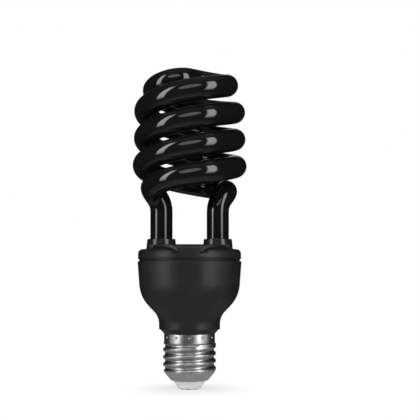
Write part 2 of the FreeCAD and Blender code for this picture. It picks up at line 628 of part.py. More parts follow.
def lead_row(seat, count=2):
    """Points of a component's row of leads, along the circle through its middle."""
    radius, angle, spacing, _ = seat
    along = ring_point(1, angle + 90)
    return [ring_point(radius, angle) + along * (spacing * (k - (count - 1) / 2)) for k in range(count)]


def rod(point, bottom_z, top_z, diameter):
    return Part.makeCylinder(diameter / 2, top_z - bottom_z, V(point.x, point.y, bottom_z))


def leads(seat, count, bottom_z):
    return [rod(point, bottom_z, LEAD_TOP_Z, seat[3]) for point in lead_row(seat, count)]


def bulk_capacitor(length=16.0, radius=5.0, top_z=38.5, rounding=0.8, groove_drop=2.2, groove_half=0.7):
    """Electrolytic can on long leads, down in the neck, with the rolled groove near its top."""
    groove_z = top_z - groove_drop
    can = turned([
        (0, top_z - length), (radius, top_z - length, rounding), (radius, groove_z - groove_half),
        (radius - groove_half, groove_z), (radius, groove_z + groove_half), (radius, top_z, rounding),
        (0, top_z)])
    can.translate(ring_point(*BULK_CAPACITOR_SEAT[:2]))
    return can.fuse(leads(BULK_CAPACITOR_SEAT, 2, top_z - LEAD_ROOT))


def film_capacitor(seat, width, thickness, height):
    """Dipped film capacitor: a block with round edges on two leads."""
    top_z = BOARD_Z - STAND_OFF
    middle = ring_point(*seat[:2]) + UP * (top_z - height)
    body = rounded_block(width, thickness, height, thickness / 2.2, middle, seat[1] + 90)
    ends = [edge for edge in body.Edges if abs(edge.BoundBox.ZMin - edge.BoundBox.ZMax) < 1e-6]
    return body.makeFillet(thickness / 4, ends).fuse(leads(seat, 2, top_z - LEAD_ROOT))


def transistor(seat, width=7.8, thickness=2.7, height=10.8, hole=3.2):
    """Flat power transistor hanging tab down on three leads, with the hole through its body."""
    top_z = BOARD_Z - 4 * STAND_OFF
    middle = ring_point(*seat[:2]) + UP * (top_z - height)
    body = rounded_block(width, thickness, height, 0.3, middle, seat[1] + 90)
    drill = Part.makeCylinder(hole / 2, 2 * thickness, V(0, 0, 0), ring_point(1, seat[1]))
    drill.translate(ring_point(seat[0] - thickness, seat[1], top_z - height + 1.1 * hole))
    return body.cut(drill).fuse(leads(seat, 3, top_z - LEAD_ROOT))


def axial_component(seat, radius, length):
    """Round component on end, its lower lead bent back up to the board beside it."""
    spacing, diameter = seat[2:]
    down, up = lead_row(seat)
    low_z = BOARD_Z - STAND_OFF - length - spacing
    route = [down + UP * LEAD_TOP_Z, down + UP * low_z, up + UP * low_z, up + UP * LEAD_TOP_Z]
    wire = bent_wire(route, spacing / 2 - 0.01, diameter)
    top_z = BOARD_Z - STAND_OFF
    body = turned([(0, top_z - length), (radius, top_z - length, radius / 3), (radius, top_z, radius / 3),
                   (0, top_z)])
    body.translate(down)
    return body.fuse(wire)


def rectifier_diodes():
    return Part.makeCompound([axial_component(seat, 1.0, 5.2) for seat in DIODE_SEATS])


def resistors():
    return Part.makeCompound([axial_component(seat, 1.0, 6.0) for seat in RESISTOR_SEATS])


def trigger_diode():
    return axial_component(TRIGGER_DIODE_SEAT, 0.9, 4.0)


def fuse_resistor(radius=1.8, length=9.0, cap_length=2.0, cap_step=0.2):
    """Fusible resistor in the live line: one lead in the board, the other meets the live wire."""
    top_z = BOARD_Z - 2 * STAND_OFF
    bottom_z = top_z - length
    waist = radius - cap_step
    body = turned([
        (0, bottom_z), (radius, bottom_z, 2 * cap_step), (radius, bottom_z + cap_length, cap_step),
        (waist, bottom_z + cap_length + cap_step), (waist, top_z - cap_length - cap_step),
        (radius, top_z - cap_length, cap_step), (radius, top_z, 2 * cap_step), (0, top_z)])
    at = V(*FUSE_AT, 0)
    body.translate(at)
    return body.fuse(rod(at, FUSE_LEAD_Z, LEAD_TOP_Z, FUSE_LEAD_DIAMETER))


def live_wire():
    """From the fusible resistor down the neck and across to the end contact."""
    x, y = FUSE_AT
    turn_z = SHELL_TOP_Z - SPIGOT_LENGTH + LIVE_WIRE_BEND
    route = [V(x, y, FUSE_LEAD_Z), V(x, y, turn_z), UP * (turn_z - LIVE_WIRE_CROSSING), UP * CONTACT_TOP_Z]
    return bent_wire(route, LIVE_WIRE_BEND, WIRE_DIAMETER)


def neutral_wire():
    """From the board down the spigot and out under its end to the inside of the screw shell."""
    x, y = NEUTRAL_AT
    end_z = SHELL_TOP_Z - SPIGOT_LENGTH - 2 * WIRE_DIAMETER
    outward = V(x, y, 0).normalize()
    route = [V(x, y, LEAD_TOP_Z), V(x, y, end_z), outward * SPIGOT_TIP_RADIUS + UP * end_z]
    return bent_wire(route, NEUTRAL_WIRE_BEND, WIRE_DIAMETER)


def wrap_pin_points():
    x, y = WRAP_PIN_AT
    return [V(side * x, end * y, 0) for side in (-1, 1) for end in (-1, 1)]


def wrap_pins():
    """Four pins on the board, round which the tube's lead wires are wrapped."""
    top_z = BOARD_TOP_Z + WRAP_PIN_HEIGHT
    return Part.makeCompound([rod(point, BOARD_Z - WRAP_PIN_TAIL, top_z, WRAP_PIN_DIAMETER)
                              for point in wrap_pin_points()])


def electrode_wires(side):
    """Two bare wires from the pinch seal of one leg, each hooked round its pin on the board."""
    z = (PINCH_Z + BOARD_TOP_Z) / 2
    aside = (WRAP_PIN_DIAMETER + ELECTRODE_WIRE_DIAMETER) / 2 + HOLE_CLEARANCE
    wires = []
    for end in (-1, 1):
        start = V(side * LEG_SPACING / 2, end * ELECTRODE_WIRE_SPACING / 2, PINCH_Z)
        pin = V(side * WRAP_PIN_AT[0], end * WRAP_PIN_AT[1], z)
        below = V(start.x, start.y, z)
        along = (pin - below).normalize()
        across = along.cross(UP) * aside
        route = [start, below, pin + along * aside + across, pin + along * aside - across,
                 pin - along * aside - across]
        wires.append(bent_wire(route, aside - 0.02, ELECTRODE_WIRE_DIAMETER))
    return Part.makeCompound(wires)


def choke_block(width, depth, bottom_z, top_z, rounding=0.3, x=0.0, y=0.0):
    """Upright block of the choke, about its middle."""
    at = V(CHOKE_AT[0] + x, CHOKE_AT[1] + y, bottom_z)
    return rounded_block(width, depth, top_z - bottom_z, rounding, at)


def choke_core(upper):
    """One E-shaped half of the core: a back with two outer legs and a centre leg."""
    middle_z = (CORE_TOP_Z + CORE_BOTTOM_Z) / 2
    bottom_z, top_z = (middle_z, CORE_TOP_Z) if upper else (CORE_BOTTOM_Z, middle_z)
    half = choke_block(CORE_WIDTH, CORE_DEPTH, bottom_z, top_z)
    window_z = (bottom_z - 1, top_z - CORE_BACK) if upper else (bottom_z + CORE_BACK, top_z + 1)
    offset = (CORE_CENTRE_LEG + CORE_WINDOW) / 2
    windows = [choke_block(CORE_WINDOW, CORE_DEPTH + 2, *window_z, x=side * offset) for side in (-1, 1)]
    return half.cut(windows)


def choke_bobbin():
    """Spool on the centre leg, with two pin rails that straddle the core under the board."""
    low_z = CORE_BOTTOM_Z + CORE_BACK + BOBBIN_CLEARANCE
    high_z = CORE_TOP_Z - CORE_BACK - BOBBIN_CLEARANCE
    bore = (CORE_CENTRE_LEG + 2 * BOBBIN_CLEARANCE, CORE_DEPTH + 2 * BOBBIN_CLEARANCE)
    barrel = choke_block(bore[0] + 2 * BOBBIN_WALL, bore[1] + 2 * BOBBIN_WALL, low_z, high_z)
    flange_width = CORE_CENTRE_LEG + 2 * (CORE_WINDOW - BOBBIN_CLEARANCE)
    flange_depth = 2 * (WINDING_HALF_DEPTH + BOBBIN_WALL)
    upper_z = high_z - BOBBIN_WALL
    flanges = [choke_block(flange_width, flange_depth, z, z + BOBBIN_WALL) for z in (low_z, upper_z)]
    rail_depth = (flange_depth - bore[1]) / 2
    rail_y = (flange_depth + bore[1]) / 4
    rails = [choke_block(flange_width, rail_depth, upper_z, BOARD_Z, y=side * rail_y) for side in (-1, 1)]
    pins = [rod(point, high_z, LEAD_TOP_Z, PIN_DIAMETER) for point in choke_pin_points()]
    spool = barrel.fuse(flanges + rails + pins)
    return spool.cut(choke_block(*bore, low_z - 1, high_z + 1)).removeSplitter()


def choke_pin_points():
    return [V(CHOKE_AT[0] + sx * PIN_SPACING_X / 2, CHOKE_AT[1] + sy * PIN_SPACING_Y / 2, 0)
            for sx in (-1, 1) for sy in (-1, 1)]


def choke_winding():
    """Wound wire as one body, which fills the spool between its flanges."""
    around = BOBBIN_CLEARANCE + BOBBIN_WALL
    low_z = CORE_BOTTOM_Z + CORE_BACK + around
    high_z = CORE_TOP_Z - CORE_BACK - around
    inner = (CORE_CENTRE_LEG + 2 * around, CORE_DEPTH + 2 * around)
    outer_width = CORE_CENTRE_LEG + 2 * (CORE_WINDOW - 3 * BOBBIN_CLEARANCE)
    coil = choke_block(outer_width, 2 * WINDING_HALF_DEPTH, low_z, high_z, rounding=2.5)
    return coil.cut(choke_block(*inner, low_z - 1, high_z + 1))


def toroid_core():
    """Ring core, flat under the board."""
    bottom_z = TOROID_TOP_Z - TOROID_HEIGHT
    ring = turned([(TOROID_INNER_RADIUS, bottom_z, 0.4), (TOROID_OUTER_RADIUS, bottom_z, 0.4),
                   (TOROID_OUTER_RADIUS, TOROID_TOP_Z, 0.4), (TOROID_INNER_RADIUS, TOROID_TOP_Z, 0.4)])
    ring.translate(ring_point(*TOROID_SEAT))
    return ring


def toroid_route(turns, first_angle):
    """Corners of one winding: down the outside, in below, up the inside and out above, turn by turn."""
    off = TOROID_WIRE / 2 + HOLE_CLEARANCE
    outer, inner = TOROID_OUTER_RADIUS + off, TOROID_INNER_RADIUS - off
    low_z, high_z = TOROID_TOP_Z - TOROID_HEIGHT - off, TOROID_TOP_Z + off
    sides = [(outer, low_z), (inner, low_z), (inner, high_z), (outer, high_z)]
    corners = []
    for step in range(4 * turns - 2):
        radius, z = sides[step % 4]
        corners.append(ring_point(radius, first_angle + TOROID_TURN_ANGLE * step / 4, z))
    first, last = corners[0], corners[-1]
    return [V(first.x, first.y, LEAD_TOP_Z)] + corners + [V(last.x, last.y, LEAD_TOP_Z)]


def toroid_winding(name):
    """One winding, from the board down round the ring and back up through its hole to the board."""
    winding = bent_wire(toroid_route(*TOROID_WINDINGS[name]), TOROID_BEND, TOROID_WIRE)
    winding.translate(ring_point(*TOROID_SEAT))
    return winding


def winding_lead_points():
    """Where the toroid's winding ends pass through the board."""
    centre = ring_point(*TOROID_SEAT)
    ends = []
    for winding in TOROID_WINDINGS.values():
        route = toroid_route(*winding)
        ends += [centre + V(point.x, point.y, 0) for point in (route[0], route[-1])]
    return ends


def circuit_board():
    """Round board with a hole for every lead and pin."""
    board = Part.makeCylinder(housing_bore(BOARD_Z) - BOARD_CLEARANCE, BOARD_THICKNESS, UP * BOARD_Z)
    holes = []
    pairs = [BULK_CAPACITOR_SEAT, RESONANT_CAPACITOR_SEAT, COUPLING_CAPACITOR_SEAT, TRIGGER_DIODE_SEAT]
    for seat in pairs + DIODE_SEATS + RESISTOR_SEATS:
        holes += [(point, seat[3]) for point in lead_row(seat)]
    for seat in TRANSISTOR_SEATS.values():
        holes += [(point, seat[3]) for point in lead_row(seat, 3)]
    holes += [(point, PIN_DIAMETER) for point in choke_pin_points()]
    holes += [(point, TOROID_WIRE) for point in winding_lead_points()]
    holes += [(point, WRAP_PIN_DIAMETER) for point in wrap_pin_points()]
    holes += [(V(*FUSE_AT, 0), FUSE_LEAD_DIAMETER), (V(*NEUTRAL_AT, 0), WIRE_DIAMETER)]
    return board.cut([rod(point, BOARD_Z - 1, BOARD_TOP_Z + 1, diameter + 2 * HOLE_CLEARANCE)
                      for point, diameter in holes])


PARTS = {
    "spiral_tube": spiral_tube,
    "ballast_cover": ballast_cover,
    "ballast_housing": ballast_housing,
    "left_tube_cement": lambda: tube_cement(-1),
    "right_tube_cement": lambda: tube_cement(1),
    "screw_shell": screw_shell,
    "base_insulator": base_insulator,
    "centre_contact": centre_contact,
    "circuit_board": circuit_board,
    "bulk_capacitor": bulk_capacitor,
    "resonant_capacitor": lambda: film_capacitor(RESONANT_CAPACITOR_SEAT, *RESONANT_CAPACITOR_SIZE),
    "coupling_capacitor": lambda: film_capacitor(COUPLING_CAPACITOR_SEAT, *COUPLING_CAPACITOR_SIZE),
    "left_transistor": lambda: transistor(TRANSISTOR_SEATS["left"]),
    "right_transistor": lambda: transistor(TRANSISTOR_SEATS["right"]),
    "rectifier_diodes": rectifier_diodes,
    "resistors": resistors,
    "trigger_diode": trigger_diode,
    "fuse_resistor": fuse_resistor,
    "live_wire": live_wire,
    "neutral_wire": neutral_wire,
    "wrap_pins": wrap_pins,
    "left_electrode_wires": lambda: electrode_wires(-1),
    "right_electrode_wires": lambda: electrode_wires(1),
    "upper_choke_core": lambda: choke_core(True),
    "lower_choke_core": lambda: choke_core(False),
    "choke_bobbin": choke_bobbin,
    "choke_winding": choke_winding,
    "toroid_core": toroid_core,
    "first_base_winding": lambda: toroid_winding("first_base"),
    "second_base_winding": lambda: toroid_winding("second_base"),
    "toroid_main_winding": lambda: toroid_winding("main"),
}

os.makedirs("parts", exist_ok=True)
for name, build in PARTS.items():
    shape = build()
    shape.exportStep(f"parts/{name}.step")
    print(name, shape.isValid(), len(shape.Solids), len(shape.Faces), round(shape.Volume, 1))
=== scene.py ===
import json
import math

import bpy
import numpy as np
from mathutils import Matrix


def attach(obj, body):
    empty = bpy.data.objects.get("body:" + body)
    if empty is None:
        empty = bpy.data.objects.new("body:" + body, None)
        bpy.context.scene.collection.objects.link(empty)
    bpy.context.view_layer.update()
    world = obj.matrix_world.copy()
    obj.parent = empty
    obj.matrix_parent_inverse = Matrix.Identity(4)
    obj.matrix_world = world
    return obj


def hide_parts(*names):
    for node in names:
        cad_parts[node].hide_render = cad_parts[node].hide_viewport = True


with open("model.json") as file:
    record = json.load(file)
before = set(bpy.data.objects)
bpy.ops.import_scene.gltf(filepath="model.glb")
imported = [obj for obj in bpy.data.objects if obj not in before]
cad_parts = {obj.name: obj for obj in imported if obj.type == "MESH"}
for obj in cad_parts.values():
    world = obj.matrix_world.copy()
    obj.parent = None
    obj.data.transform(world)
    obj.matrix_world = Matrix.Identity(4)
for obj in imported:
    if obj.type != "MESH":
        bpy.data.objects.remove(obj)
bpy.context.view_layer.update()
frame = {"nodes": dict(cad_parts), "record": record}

# Looks of a spiral compact fluorescent black-light lamp that stands on its screw cap. Sizes are in metres.
# +Z runs up the lamp's axis, the origin is in the middle of the end contact, and the front faces -Y.

MM = 0.001

# Glass tube: the sizes of the model's own tube, but for a tighter knee over each leg. Angles are in degrees.
LAMP_HEIGHT = 160.0 * MM
TUBE_RADIUS = 5.55 * MM
COIL_RADIUS = 22.5 * MM       # of the centre line, at the first coil
COIL_FLARE = 1.4 * MM         # what the radius gains down to the last coil
COIL_BELLY = -0.8 * MM        # what it gains at half height besides; below zero it draws the coil in
HALF_TURNS = 4                # of each arm
COIL_STEP = 13.5125 * MM      # how far an arm falls in half a turn
CROSSING_HEADING = 45.7       # from +X to the way in which the tube crosses the axis at the top
CROSSING_DROP = 3.3 * MM      # from the crossing down to where the coil would start
CROSSING_RATIO = 3.0          # reach of the crossing's arc against that of the next one
LEAD_IN_ANGLE = 58.0          # of coil that gives way to the crossing
LEAD_OUT_ANGLE = 20.0         # of coil that gives way to the knee
STATION_ANGLE = 27.0          # about as much coil lies between two stations
RUN_IN = 4.0 * MM             # how far the coil draws in before the knee
RUN_IN_ANGLE = 60.0
LEG_RADIUS = 14.05 * MM       # from the axis to the middle of a leg
LEG_TOP_Z = 88.0 * MM
FOOT_Z = 66.0 * MM            # where the leg's round end begins
PINCH_LENGTH = 3.0 * MM
PINCH_HALF_THICKNESS = 1.3 * MM
PINCH_HALF_WIDTH = 4.0 * MM
TUBE_STEP = 0.45 * MM         # from one ring of the mesh to the next
TUBE_SIDES = 48
EASE_LENGTH = 2.4 * MM        # reach over which the bends run into each other
OUTER_START_Z = 95.0 * MM     # up to here a ring's first point is on its outer side
UPPER_START_Z = 112.0 * MM    # and from here on its upper side

# Ballast case
SEAM_Z = 63.1 * MM
COVER_SHOULDER_Z = 69.0 * MM
PLATEAU_Z = 70.8 * MM         # top of the raised oval, on which the collars stand
OVAL_HALF_WIDTH = 18.75 * MM
OVAL_HALF_DEPTH = 26.3 * MM
RIM_RADIUS = 25.6 * MM
RIM_ROUND = 2.1 * MM          # rounding of the cover's rim

# Screw cap
GROOVE_RADIUS = 12.1 * MM     # at the bottom of the thread
CREST_RADIUS = 13.0 * MM      # near the top of the thread
NOSE_TOP_Z = 8.6 * MM         # of the cone under the thread


# Shapes

def unit(vectors):
    """Each row divided by its own length."""
    return vectors / np.linalg.norm(vectors, axis=-1, keepdims=True)


def ring_point(radius, degrees, height):
    """Point at the height on a circle round the axis: (radius cos a, radius sin a, height)."""
    a = np.radians(degrees)
    return np.array([radius * np.cos(a), radius * np.sin(a), height])


def coil_point(turn):
    """Point of the coil's centre line after turn degrees, clockwise from above.

    The radius is the first coil's, plus the flare times the share s of the whole coil, plus the belly times
    4 s (1 - s). Over the last stretch it loses the run-in times the square of the share of that stretch that
    has passed. The height falls by one coil step each half turn.
    """
    share = turn / (180.0 * HALF_TURNS)
    radius = COIL_RADIUS + COIL_FLARE * share + COIL_BELLY * 4 * share * (1 - share)
    run_in_start = 180.0 * HALF_TURNS - LEAD_OUT_ANGLE - RUN_IN_ANGLE
    radius -= RUN_IN * max(0.0, (turn - run_in_start) / RUN_IN_ANGLE) ** 2
    height = LAMP_HEIGHT - TUBE_RADIUS - CROSSING_DROP - COIL_STEP * turn / 180.0
    return ring_point(radius, -turn, height)


def coil_station(turn, nearby=0.05):
    """Point and direction of the coil: the direction is the chord between two points nearby."""
    return coil_point(turn), unit(coil_point(turn + nearby) - coil_point(turn - nearby))


def arc_pair(first, second, ratio=1.0):
    """Two arcs that touch each other and both given directions, each as start, corner and end.

    The reaches d1 = ratio d2 along the two directions are the root of |corner2 - corner1| = d1 + d2.
    """
    (p1, t1), (p2, t2) = first, second
    gap = p2 - p1
    a = 2 * ratio * (t1 @ t2 - 1)
    b = -2 * gap @ (t1 * ratio + t2)
    reach_2 = (-b - math.sqrt(b * b - 4 * a * (gap @ gap))) / (2 * a)
    reach_1 = ratio * reach_2
    corner_1, corner_2 = p1 + t1 * reach_1, p2 - t2 * reach_2
    joint = corner_1 + (corner_2 - corner_1) * (reach_1 / (reach_1 + reach_2))
    return [(p1, corner_1, joint), (joint, corner_2, p2)]


def arc_points(start, corner, end, count=60):
    """Circular arc as the conic ((1-t)^2 start + 2 w t (1-t) corner + t^2 end) / the same sum of weights.

    w is the cosine of half the angle that the arc turns through.
    """
    before, after = unit(corner - start), unit(end - corner)
    w = math.sqrt((1 + before @ after) / 2)
    t = np.linspace(0, 1, count)[:, None]
    to_start, to_corner, to_end = (1 - t) ** 2, 2 * w * t * (1 - t), t ** 2
    return (to_start * start + to_corner * corner + to_end * end) / (to_start + to_corner + to_end)


def evenly_spaced(points, step):
    """The same line with points a step apart: each coordinate is read off by the length run so far."""
    along = np.concatenate([[0], np.cumsum(np.linalg.norm(np.diff(points, axis=0), axis=1))])
    stations = np.linspace(0, along[-1], int(round(along[-1] / step)) + 1)
    return np.stack([np.interp(stations, along, points[:, k]) for k in range(3)], axis=1)


def eased(points, reach):
    """Each point replaced by the mean of its neighbours within the reach, weighted by a raised cosine.

    The line is carried on straight past both ends, so that the ends stay where they are.
    """
    step = np.linalg.norm(points[1] - points[0])
    half = int(round(reach / step))
    window = 1 + np.cos(np.linspace(-np.pi, np.pi, 2 * half + 3)[1:-1])
    window /= window.sum()
    count = np.arange(half, 0, -1)[:, None]
    before = points[0] - (points[1] - points[0]) * count
    after = points[-1] + (points[-1] - points[-2]) * count[::-1]
    padded = np.vstack([before, points, after])
    return np.stack([np.convolve(padded[:, k], window, mode="valid") for k in range(3)], axis=1)


def tube_line():
    """Centre line of the whole tube, from one pinched end over the crossing to the other.

    An arm is a chain of arc pairs from the crossing through the coil's stations to the top of the leg, and
    the leg. The other arm is the same, turned by half a turn about the axis.
    """
    last_turn = 180.0 * HALF_TURNS - LEAD_OUT_ANGLE
    count = round((last_turn - LEAD_IN_ANGLE) / STATION_ANGLE)
    coil = [coil_station(turn) for turn in np.linspace(LEAD_IN_ANGLE, last_turn, count + 1)]
    crossing = (np.array([0, 0, LAMP_HEIGHT - TUBE_RADIUS]), ring_point(1, CROSSING_HEADING, 0))
    leg_top = (np.array([LEG_RADIUS, 0, LEG_TOP_Z]), np.array([0, 0, -1.0]))
    arcs = arc_pair(crossing, coil[0], CROSSING_RATIO)
    for here, following in zip(coil, coil[1:] + [leg_top]):
        arcs += arc_pair(here, following)
    leg_end = np.array([LEG_RADIUS, 0, FOOT_Z - TUBE_RADIUS - PINCH_LENGTH])
    arm = np.vstack([arc_points(*arc)[:-1] for arc in arcs] + [leg_top[0], leg_end])
    other = arm[::-1] * [-1, -1, 1]
    return eased(evenly_spaced(np.vstack([other[:-1], arm]), TUBE_STEP), EASE_LENGTH)


def smooth_step(x, low, high):
    """0 below low, 1 above high, and 3 t^2 - 2 t^3 between."""
    t = np.clip((x - low) / (high - low), 0, 1)
    return t * t * (3 - 2 * t)


def ring_faces(rings, sides):
    """Quads between neighbouring rings of points, and a fan to one more point at each end."""
    ring, side = np.meshgrid(np.arange(rings - 1) * sides, np.arange(sides), indexing="ij")
    following = (side + 1) % sides
    corners = [ring + side, ring + following, ring + sides + following, ring + sides + side]
    quads = np.stack(corners, axis=-1).reshape(-1, 4)
    here = np.arange(sides)
    ahead = (here + 1) % sides
    last_ring = (rings - 1) * sides
    first_pole, last_pole = np.full(sides, rings * sides), np.full(sides, rings * sides + 1)
    start_fan = np.stack([first_pole, ahead, here], axis=-1)
    end_fan = np.stack([last_pole, last_ring + here, last_ring + ahead], axis=-1)
    return quads.tolist() + start_fan.tolist() + end_fan.tolist()


def mesh_piece(name, points, faces, material):
    """Smooth piece that rides on the lamp."""
    mesh = bpy.data.meshes.new(name)
    mesh.from_pydata(points, [], faces)
    mesh.polygons.foreach_set("use_smooth", np.ones(len(mesh.polygons), bool))
    mesh.materials.append(material)
    mesh.update()
    piece = bpy.data.objects.new(name, mesh)
    bpy.context.scene.collection.objects.link(piece)
    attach(piece, "root")
    return piece


def glass_spiral(material):
    """Tube carried along its centre line.

    A point is centre + a cos(u) side + b sin(u) lift, at the angle u round the tube, with side and lift
    square to the line. Side leans outwards on the legs and upwards in the coil. a and b are the tube's
    radius; past the leg's foot they follow the round end, sqrt(radius^2 - depth^2), until the half widths of
    the flat pinched end are larger.
    """
    line = tube_line()
    height = line[:, 2]
    ahead = unit(np.gradient(line, axis=0))
    not_quite_zero = [1e-9, 0, 0]
    outward = unit(line * [1, 1, 0] + not_quite_zero)
    upper = smooth_step(height, OUTER_START_Z, UPPER_START_Z)[:, None]
    reference = outward * (1 - upper) + np.array([0, 0, 1.0]) * upper
    side = unit(reference - ahead * (reference * ahead).sum(1, keepdims=True))
    lift = np.cross(ahead, side)
    depth = np.clip(FOOT_Z - height, 0, TUBE_RADIUS)
    round_end = np.sqrt(TUBE_RADIUS ** 2 - depth ** 2)
    a = np.maximum(round_end, PINCH_HALF_THICKNESS)[:, None, None]
    b = np.maximum(round_end, PINCH_HALF_WIDTH)[:, None, None]
    u = np.linspace(0, 2 * np.pi, TUBE_SIDES, endpoint=False)[None, :, None]
    rings = line[:, None] + a * np.cos(u) * side[:, None] + b * np.sin(u) * lift[:, None]
    points = np.vstack([rings.reshape(-1, 3), line[:1], line[-1:]])
    piece = mesh_piece("glass_spiral", points, ring_faces(len(line), TUBE_SIDES), material)
    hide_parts("spiral_tube")
    return piece


# Node trees

class Nodes:
    """Short calls that add nodes to one node tree."""

    def __init__(self, tree):
        self.tree = tree
        self.nodes = tree.nodes

    def feed(self, socket, value):
        """Links the socket to another node's output, or sets its own value."""
        if isinstance(value, bpy.types.NodeSocket):
            self.tree.links.new(value, socket)
        else:
            socket.default_value = value

    def name_sockets(self, node, **values):
        """Feeds sockets by their names, with _ for a blank."""
        for name, value in values.items():
            self.feed(node.inputs[name.replace("_", " ")], value)
        return node

    def add(self, kind, *values, **settings):
        """New node: values go to its sockets in order, and settings are its own."""
        node = self.nodes.new("ShaderNode" + kind)
        for key, value in settings.items():
            setattr(node, key, value)
        for socket, value in zip(node.inputs, values):
            self.feed(socket, value)
        return node

    def math(self, operation, a, b=0.0):
        return self.add("Math", a, b, operation=operation).outputs[0]

    def plus(self, a, b):
        return self.math("ADD", a, b)

    def minus(self, a, b):
        return self.math("SUBTRACT", a, b)

    def times(self, a, b):
        return self.math("MULTIPLY", a, b)

    def larger(self, a, b):
        return self.math("MAXIMUM", a, b)

    def root(self, a):
        return self.math("SQRT", a)

    def length(self, a, b):
        """Root of the sum of two squares."""
        return self.root(self.plus(self.times(a, a), self.times(b, b)))

    def axes(self, vector):
        """The three coordinates of a vector."""
        return self.add("SeparateXYZ", vector).outputs

    def spread(self, value, from_low, from_high, low=0.0, high=1.0, smooth=False):
        """A value from one range carried over to another, and held at its ends."""
        kind = "SMOOTHSTEP" if smooth else "LINEAR"
        node = self.add("MapRange", value, from_low, from_high, low, high, interpolation_type=kind)
        return node.outputs[0]

    def band(self, value, start, full, last, end):
        """1 from full to last, falling to 0 at start and end."""
        return self.times(self.spread(value, start, full), self.spread(value, last, end, 1.0, 0.0))

    def rays(self):
        """Three masks: rays from the camera, rays off polished or clear surfaces, and rays off matt ones."""
        path = self.add("LightPath").outputs
        mirrored = self.larger(path["Is Glossy Ray"], path["Is Transmission Ray"])
        return path["Is Camera Ray"], mirrored, path["Is Diffuse Ray"]


class Finish(Nodes):
    """A material with its main shader, and short calls for the patterns that feed it."""

    def __init__(self, name, **fixed):
        self.material = bpy.data.materials.new(name)
        self.material.use_nodes = True
        super().__init__(self.material.node_tree)
        self.shader = self.name_sockets(self.nodes["Principled BSDF"], **fixed)
        self.place = self.add("TexCoord").outputs["Object"]

    def noise(self, scale, detail, roughness=0.5, at=None):
        """Cloudy pattern from 0 to 1, scale being blotches per metre."""
        node = self.add("TexNoise", at or self.place)
        return self.name_sockets(node, Scale=scale, Detail=detail, Roughness=roughness).outputs["Fac"]

    def tint(self, share, dark, light):
        """Colour between two, by a share from 0 to 1."""
        node = self.add("Mix", share, data_type="RGBA")
        first_colour, second_colour, mixed_colour = 6, 7, 2
        node.inputs[first_colour].default_value = (*dark, 1)
        node.inputs[second_colour].default_value = (*light, 1)
        return node.outputs[mixed_colour]

    def bump(self, height, depth):
        """Surface relief of the given depth in metres."""
        return self.name_sockets(self.add("Bump"), Height=height, Distance=depth).outputs["Normal"]

    def use(self, **sockets):
        """The material, once these sockets of its shader are fed."""
        self.name_sockets(self.shader, **sockets)
        return self.material


# Finishes

def black_filter_glass():
    """Near-black glass, fire-polished: faint long waves from bending, light haze where it was handled."""
    glass = Finish("black_filter_glass", IOR=1.52)
    haze = glass.noise(55, 3)
    waves = glass.noise(70, 1)
    return glass.use(Base_Color=glass.tint(haze, (0.0054, 0.0054, 0.0057), (0.0076, 0.0074, 0.0080)),
                     Roughness=glass.spread(haze, 0.35, 0.75, 0.02, 0.07),
                     Normal=glass.bump(waves, 0.03 * MM))


def seam_painted_shade(plastic, z, from_axis):
    """Painted shade: 0.4 in the groove between the two halves of the case, 0 elsewhere."""
    from_seam = plastic.math("ABSOLUTE", plastic.minus(z, SEAM_Z))
    inside = plastic.spread(from_axis, RIM_RADIUS - 0.45 * MM, RIM_RADIUS - 0.1 * MM, 0.4, 0.0)
    return plastic.times(inside, plastic.spread(from_seam, 0.7 * MM, 1.0 * MM, 1.0, 0.0))


def crease_painted_shade(plastic, z, from_axis, oval):
    """Painted shade: 1 where the raised oval's wall meets the cover, 0 elsewhere.

    The cover's rim is a quarter circle, so the wall's foot lies sqrt(round^2 - over^2) above the round's
    centre, with over being how far a place lies outwards of that centre.
    """
    over = plastic.larger(plastic.minus(from_axis, RIM_RADIUS - RIM_ROUND), 0.0)
    rise = plastic.root(plastic.larger(plastic.minus(RIM_ROUND ** 2, plastic.times(over, over)), 0.0))
    above_foot = plastic.minus(z, plastic.plus(rise, COVER_SHOULDER_Z - RIM_ROUND))
    at_the_wall = plastic.band(oval, 0.985, 0.995, 1.015, 1.035)
    return plastic.times(at_the_wall, plastic.band(above_foot, -0.6 * MM, -0.4 * MM, 0.3 * MM, 0.55 * MM))


def edge_mask(plastic, z, oval):
    """1 along the top edge of the raised oval, 0 elsewhere."""
    outer = plastic.spread(oval, 0.965, 0.975)
    low, high = PLATEAU_Z - 0.8 * MM, PLATEAU_Z + 0.1 * MM
    return plastic.times(outer, plastic.band(z, low - 0.3 * MM, low, high, high + 0.2 * MM))


def case_plastic():
    """Satin dark moulding with a fine spark-eroded grain.

    The collars and the edge of the raised oval are polished. Painted shade makes it dull and dark in the
    seam and in the crease round the oval. The shader's own specular level is the plain surface's, for an
    exported model.
    """
    plain_shine = 0.3
    plastic = Finish("case_plastic", Specular_IOR_Level=plain_shine)
    x, y, z = plastic.axes(plastic.place)
    from_axis = plastic.length(x, y)
    across = plastic.math("DIVIDE", x, OVAL_HALF_WIDTH)
    along = plastic.math("DIVIDE", y, OVAL_HALF_DEPTH)
    oval = plastic.length(across, along)
    # Painted shade: the seam and the crease round the oval get a darker colour and less specular shine.
    crease = plastic.times(crease_painted_shade(plastic, z, from_axis, oval), 0.97)
    unshaded_share = plastic.minus(1.0, plastic.larger(seam_painted_shade(plastic, z, from_axis), crease))
    collar = plastic.spread(z, PLATEAU_Z + 0.3 * MM, PLATEAU_Z + 0.8 * MM)
    polish = plastic.plus(plastic.times(edge_mask(plastic, z, oval), 0.6), plastic.times(collar, 0.25))
    cloud = plastic.noise(160, 3)
    shade = plastic.times(cloud, unshaded_share)
    satin = plastic.minus(plastic.spread(cloud, 0, 1, 0.38, 0.47), plastic.times(collar, 0.22))
    grain = plastic.noise(5200, 2, 0.6)
    return plastic.use(Base_Color=plastic.tint(shade, (0.0075, 0.0075, 0.0075), (0.0165, 0.0165, 0.0165)),
                       Roughness=satin,
                       Specular_IOR_Level=plastic.times(plastic.plus(polish, plain_shine), unshaded_share),
                       Normal=plastic.bump(grain, 0.02 * MM))


